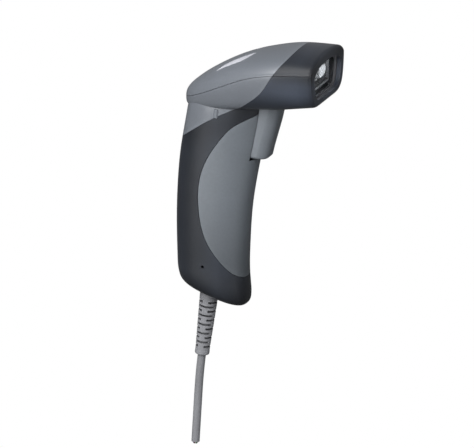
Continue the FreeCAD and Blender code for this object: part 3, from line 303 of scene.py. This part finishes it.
def board(name, *, mask, copper):
    """Printed board: solder mask over fine tracks and round pads."""
    g = material_graph(name)
    vector = g.coords()
    tracks = g.node("TexBrick", {
        "Vector": vector,
        "Scale": 420.0,
        "Mortar Size": 0.06,
        "Color1": mask,
        "Color2": shade(mask, 1.5),
        "Mortar": shade(mask, 2.4),
    })
    pads = g.cells(vector, scale=330.0, radius=0.16)
    bump = g.bump(tracks.outputs["Fac"], strength=0.3, distance=4e-5)
    g.surface(g.node("BsdfPrincipled", {
        "Base Color": g.mix(pads, tracks.outputs["Color"], copper),
        "Metallic": g.maths("MULTIPLY", pads, 0.9),
        "Roughness": 0.34,
        "Normal": bump.outputs["Normal"],
    }))


def insulated(name, colours):
    """Wire insulation: each separate wire takes one of the colours."""
    g = material_graph(name)
    wire = g.node("NewGeometry").outputs["Random Per Island"]
    stops = [(i / len(colours), colour) for i, colour in enumerate(colours)]
    colour = g.ramp(wire, stops, interpolation="CONSTANT")
    vector = g.coords()
    dirt = g.ramp(g.noise(vector, scale=500.0), [(0.3, grey(0.02)), (0.8, grey(0.6))])
    bump = g.bump(g.noise(vector, scale=1200.0), strength=0.2, distance=3e-5)
    g.surface(g.node("BsdfPrincipled", {
        "Base Color": g.mix(0.3, colour, dirt, blend="SOFT_LIGHT"),
        "Roughness": 0.38,
        "Normal": bump.outputs["Normal"],
    }))


# ------------------------------------------------------------ the materials
CABLE_GREY = (0.235, 0.238, 0.252)

# painted light and shade as brightness factors at places in metres, Z upward and X from back to
# front: mostly the lighting (a bright shoulder highlight, a darker foot and underside), partly
# the finish's own colour
GRIP_PAINTED_LIGHT_Z = [(-0.125, 0.62), (-0.105, 0.80), (-0.075, 1.08), (-0.030, 1.0)]
SOFT_PAINTED_LIGHT_Z = [
    (-0.150, 0.25), (-0.138, 0.42), (-0.122, 0.84), (-0.095, 0.76), (-0.078, 0.70),
    (-0.050, 0.88), (-0.036, 0.58), (-0.022, 0.62), (-0.011, 1.10), (-0.003, 1.95),
    (0.002, 1.70), (0.007, 0.66), (0.011, 0.45), (0.017, 0.85),
]
SOFT_PAINTED_LIGHT_X = [
    (-0.092, 1.0), (-0.087, 1.0), (-0.081, 0.72), (-0.074, 0.85), (-0.064, 1.58),
    (-0.056, 1.22), (-0.050, 0.85), (-0.036, 0.95), (-0.018, 1.22), (-0.009, 1.42),
    (-0.003, 1.02), (0.0, 0.68),
]

# casing
# grey_shell: painted shade in its gaps
moulded("grey_shell", (0.158, 0.172, 0.194), rough=0.36, grain=1500.0, depth=2e-5,
        strength=0.20, vary=0.05, wear=0.15, spec=0.55, coat=0.30, recess_shade=0.8)
# grey_grip: painted light and shade along Z, darker towards the bottom of the grip
moulded("grey_grip", (0.136, 0.153, 0.172), rough=0.42, grain=1300.0, strength=0.30,
        vary=0.06, wear=0.15, spec=0.80, painted_light_z=GRIP_PAINTED_LIGHT_Z)
moulded("grey_trigger", (0.165, 0.182, 0.202), rough=0.42, grain=1300.0, strength=0.28,
        vary=0.05, wear=0.2, bevel=0.0005)
# charcoal_soft: painted light and shade along Z and X, with a bright band for the shoulder
# highlight
moulded("charcoal_soft", (0.0202, 0.0245, 0.0338), rough=0.46, grain=1100.0, depth=4e-5,
        strength=0.42, vary=0.12, wear=0.12, spec=0.58, sheen=0.05, fleck=0.10,
        painted_light_z=SOFT_PAINTED_LIGHT_Z, along=SOFT_PAINTED_LIGHT_X)
moulded("black_plastic", (0.012, 0.012, 0.014), rough=0.5, depth=4e-5, strength=0.4,
        vary=0.15, wear=0.1)
moulded("black_foam", (0.010, 0.010, 0.011), rough=0.9, grain=700.0, depth=1e-4,
        strength=0.8, vary=0.3, wear=0.0, spec=0.2)
clear_sheet("clear_window", tint=(0.93, 0.94, 0.95), rough=0.02, ior=1.33, strength=0.55)
clear_solid("light_pipe", (0.72, 0.73, 0.79), rough=0.12, transmission=0.12, vary=0.04)

# electronics
board("circuit_board", mask=(0.012, 0.085, 0.030), copper=(0.55, 0.42, 0.20))
moulded("white_component", (0.62, 0.61, 0.56), rough=0.45, grain=1500.0, depth=2e-5,
        strength=0.2, wear=0.0)
moulded("black_component", (0.018, 0.018, 0.020), rough=0.42, grain=1800.0, depth=2e-5,
        strength=0.3, vary=0.15, wear=0.1, bevel=0.0001)
insulated("wire_insulation", [
    (0.16, 0.02, 0.015), (0.02, 0.02, 0.02), (0.03, 0.22, 0.05),
    (0.55, 0.55, 0.52), (0.50, 0.33, 0.03), (0.03, 0.07, 0.35),
])

# metals and optics
metal("steel", (0.55, 0.55, 0.57), rough=0.32)
metal("spring_steel", (0.42, 0.42, 0.44), rough=0.28)
metal("cast_zinc", (0.66, 0.66, 0.64), rough=0.42, depth=3e-5, patina=0.12)
metal("mirror_glass", (0.90, 0.91, 0.92), rough=0.06, depth=5e-7, patina=0.02)
metal("magnet_metal", (0.50, 0.50, 0.53), rough=0.22)
metal("copper_winding", (0.62, 0.27, 0.12), rough=0.30)
metal("brass", (0.70, 0.50, 0.24), rough=0.26, streak=(1, 0.05, 1))
clear_solid("optic_glass", (0.93, 0.95, 0.98), rough=0.02, transmission=0.9)
clear_solid("red_filter", (0.30, 0.01, 0.01), rough=0.06, transmission=0.5)

# connections and cable
moulded("flex_film", (0.36, 0.16, 0.03), rough=0.3, grain=700.0, depth=2e-5,
        strength=0.2, vary=0.12, wear=0.0, coat=0.3)
metal("gold_contact", (0.83, 0.62, 0.28), rough=0.2)
clear_solid("clear_plug", (0.78, 0.80, 0.82), rough=0.10, transmission=0.6, ior=1.58)
moulded("cable_grey", CABLE_GREY, rough=0.48, grain=1000.0, depth=4e-5, strength=0.30,
        vary=0.07, wear=0.15, spec=0.45)
metal("shield_braid", (0.58, 0.57, 0.54), rough=0.4)

# finishes for single pieces
# relief_rubber: painted shade in its slots
moulded("relief_rubber", shade(CABLE_GREY, 1.15), rough=0.5, grain=1000.0, depth=4e-5,
        strength=0.30, vary=0.05, wear=0.10, spec=0.45, bevel=0.00012, recess_shade=1.0,
        reach=0.0016)
moulded("bezel_plastic", (0.034, 0.035, 0.039), rough=0.6, grain=1100.0, strength=0.3,
        vary=0.12, wear=0.1)
# cast_housing: painted shade on its upward faces
metal("cast_housing", (0.74, 0.75, 0.77), rough=0.40, depth=6e-5, patina=0.35,
      metallic=0.55, scale=420.0, up_faces_shaded=True)

# pieces whose finish is not the one of their material slot; relief_rubber and cast_housing also
# carry painted shade
FINISH = {
    "strain_relief": "relief_rubber",
    "window_bezel": "bezel_plastic",
    "engine_chassis": "cast_housing",
}


def dress_pieces():
    slot_of = {part["node"]: part["material_slot"] for part in frame["record"]["subparts"]}
    for name, piece in NODES.items():
        material = MATS[FINISH.get(name) or slot_of[name]]
        if not piece.material_slots:
            piece.data.materials.append(material)
        for slot in piece.material_slots:
            slot.material = material


dress_pieces()


# ------------------------------------------------------------ new mesh pieces
scene = bpy.context.scene


def box_centre(name):
    low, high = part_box(name)
    return (Vector(low) + Vector(high)) / 2


def new_piece(name, bm, material, smooth=True):
    mesh = bpy.data.meshes.new(name)
    bm.normal_update()
    bm.to_mesh(mesh)
    bm.free()
    piece = bpy.data.objects.new(name, mesh)
    scene.collection.objects.link(piece)
    mesh.materials.append(material)
    for face in mesh.polygons:
        face.use_smooth = smooth
    return piece


def tube(bm, points, radius, sides):
    """A round wire along points, closed by a flat face at each end."""
    reference = Vector((0.31, 0.2, 0.93))
    last = len(points) - 1
    rings = []
    for i, point in enumerate(points):
        along = (points[min(i + 1, last)] - points[max(i - 1, 0)]).normalized()
        across = along.cross(reference).normalized()
        over = across.cross(along).normalized()
        ring = []
        for k in range(sides):
            angle = 2 * math.pi * k / sides
            spoke = math.cos(angle) * across + math.sin(angle) * over
            ring.append(bm.verts.new(point + radius * spoke))
        rings.append(ring)
    for ring, following in zip(rings, rings[1:]):
        for k in range(sides):
            j = (k + 1) % sides
            bm.faces.new((ring[k], ring[j], following[j], following[k]))
    bm.faces.new(list(reversed(rings[0])))
    bm.faces.new(rings[-1])


def drive_coil():
    """Enamelled wire wound in layers in place of the plain ring."""
    layers = 5
    inner_radius = 1.45
    layer_pitch = 0.30
    length = 1.24
    wire_radius = 0.13
    turns = 5
    steps = turns * 28

    centre = box_centre("drive_coil")
    heading = math.radians(-45)
    axis = Vector((math.cos(heading), math.sin(heading), 0))
    side = Vector((-axis.y, axis.x, 0))
    up = Vector((0, 0, 1))
    bm = bmesh.new()
    for layer in range(layers):
        radius = (inner_radius + layer_pitch * layer) * MM
        points = []
        for k in range(steps + 1):
            angle = 2 * math.pi * turns * k / steps
            offset = (-length / 2 + length * k / steps) * MM
            spoke = side * math.cos(angle) + up * math.sin(angle)
            points.append(centre + axis * offset + spoke * radius)
        tube(bm, points, wire_radius * MM, sides=6)
    coil = new_piece("coil_winding", bm, MATS["copper_winding"])
    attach(coil, "case")
    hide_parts("drive_coil")


drive_coil()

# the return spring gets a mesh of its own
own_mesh(NODES["trigger_spring"])

# ------------------------------------------------------------ camera
scene.view_settings.view_transform = "Standard"
scene.view_settings.look = "None"
scene.view_settings.exposure = 0.0
scene.view_settings.gamma = 1.0

AZIMUTH, ELEVATION = math.radians(20.0), math.radians(17.0)
TO_CAMERA = Vector((
    math.sin(AZIMUTH) * math.cos(ELEVATION),
    -math.cos(AZIMUTH) * math.cos(ELEVATION),
    math.sin(ELEVATION),
))
RIGHT = Vector((math.cos(AZIMUTH), math.sin(AZIMUTH), 0))  # the camera's right
AIM = Vector((-56.5, 0.0, -95.1)) * MM
CAMERA_DISTANCE = 8.0
VIEW_SPAN = 0.27882353  # length at AIM that fills the sensor width


def place(data, target, offset):
    """Put a camera or light at an offset from its target, facing it."""
    thing = bpy.data.objects.new(data.name, data)
    scene.collection.objects.link(thing)
    thing.location = target + offset
    thing.rotation_euler = offset.to_track_quat("Z", "Y").to_euler()
    return thing


def add_camera():
    camera = bpy.data.cameras.new("camera")
    camera.sensor_width = 36.0
    camera.lens = CAMERA_DISTANCE * camera.sensor_width / VIEW_SPAN
    camera.clip_start = 0.1
    camera.clip_end = 60
    scene.camera = place(camera, AIM, TO_CAMERA * CAMERA_DISTANCE)


add_camera()


# ------------------------------------------------------------ world and lights
def studio_world():
    """White to the camera; a soft gradient, brightest behind the camera, for light."""
    world = bpy.data.worlds.new("studio")
    scene.world = world
    g = Graph(world, "OutputWorld")
    seen = g.node("Background", {"Color": grey(1), "Strength": 1.0})
    brightest = (-RIGHT * 0.15 + Vector((0, 0, 1)) * 0.25 + TO_CAMERA * 0.85).normalized()
    inputs = {0: g.node("TexCoord").outputs["Generated"], 1: brightest}
    facing = g.node("VectorMath", inputs, operation="DOT_PRODUCT").outputs["Value"]
    # (place from the far side, 0, to the brightest, 1; strength)
    levels = ((0.0, 0.30), (0.30, 0.12), (0.48, 0.045), (0.58, 0.10), (1.0, 0.92))
    strength = g.ramp(
        g.maths("MULTIPLY_ADD", facing, 0.5, 0.5),
        [(position, grey(level)) for position, level in levels],
    )
    lit = g.node("Background", {"Color": (0.97, 0.98, 1.0), "Strength": strength})
    is_camera = g.node("LightPath").outputs["Is Camera Ray"]
    g.surface(g.mix_shader(is_camera, lit, seen))


def softbox(name, offset, *, size, power, target=AIM):
    light = bpy.data.lights.new(name, "AREA")
    light.shape = "RECTANGLE"
    light.size, light.size_y = size
    light.energy = power
    place(light, target, offset)


def window_beam(target):
    """A narrow beam through the scan window."""
    light = bpy.data.lights.new("window_beam", "SPOT")
    light.spot_size = math.radians(6.0)
    light.spot_blend = 0.6
    light.shadow_soft_size = 0.01
    light.energy = 9.0
    place(light, target, Vector((0.34, -0.26, 0.12)))


studio_world()
softbox("key", -RIGHT * 0.22 + TO_CAMERA * 0.84 + Vector((0, 0, 0.35)),
        size=(0.45, 0.45), power=5.2)
softbox("left_panel", -RIGHT * 0.64 + TO_CAMERA * 0.62 - Vector((0, 0, 0.12)),
        size=(0.30, 0.62), power=2.8)
softbox("overhead", Vector((-0.33, -0.27, 0.88)) * 0.95, size=(0.13, 0.80), power=2.9)
softbox("edge", RIGHT * 0.75 + TO_CAMERA * 0.10 + Vector((0, 0, 0.30)),
        size=(0.15, 0.60), power=0.5)

behind_window = box_centre("window_pane") + Vector((-0.004, 0.006, 0.0))
window_beam(behind_window)
# a small pale card that the scan mirror picks up
softbox("mirror_card", Vector((0.77, -0.565, -0.20)) * 0.40,
        size=(0.12, 0.16), power=0.12, target=behind_window)


# ------------------------------------------------------------ floor
def floor_material():
    """White to the camera, dark grey to other rays, see-through from below."""
    g = material_graph("pale_floor")
    cloud = g.noise(g.coords(), scale=6.0)
    matt = g.node("BsdfPrincipled", {
        "Base Color": g.ramp(cloud, [(0.3, grey(0.09)), (0.7, grey(0.11))]),
        "Roughness": 0.9,
    })
    white = g.node("Emission", {"Color": grey(1), "Strength": 1.0})
    is_camera = g.node("LightPath").outputs["Is Camera Ray"]
    top = g.mix_shader(is_camera, matt, white)
    below = g.node("NewGeometry").outputs["Backfacing"]
    g.surface(g.mix_shader(below, top, g.node("BsdfTransparent")))
    return MATS["pale_floor"]


def add_floor():
    """A wide square just below the cable's end."""
    half_width = 3.0
    gap = 0.004
    height = CAD_BOX[0][2] - gap
    bm = bmesh.new()
    front_left, front_right, back_left, back_right = [
        bm.verts.new((x, y, height))
        for y in (-half_width, half_width) for x in (-half_width, half_width)
    ]  # as the camera sees them
    bm.faces.new((front_left, front_right, back_right, back_left))
    new_piece("floor", bm, floor_material(), smooth=False)


add_floor()
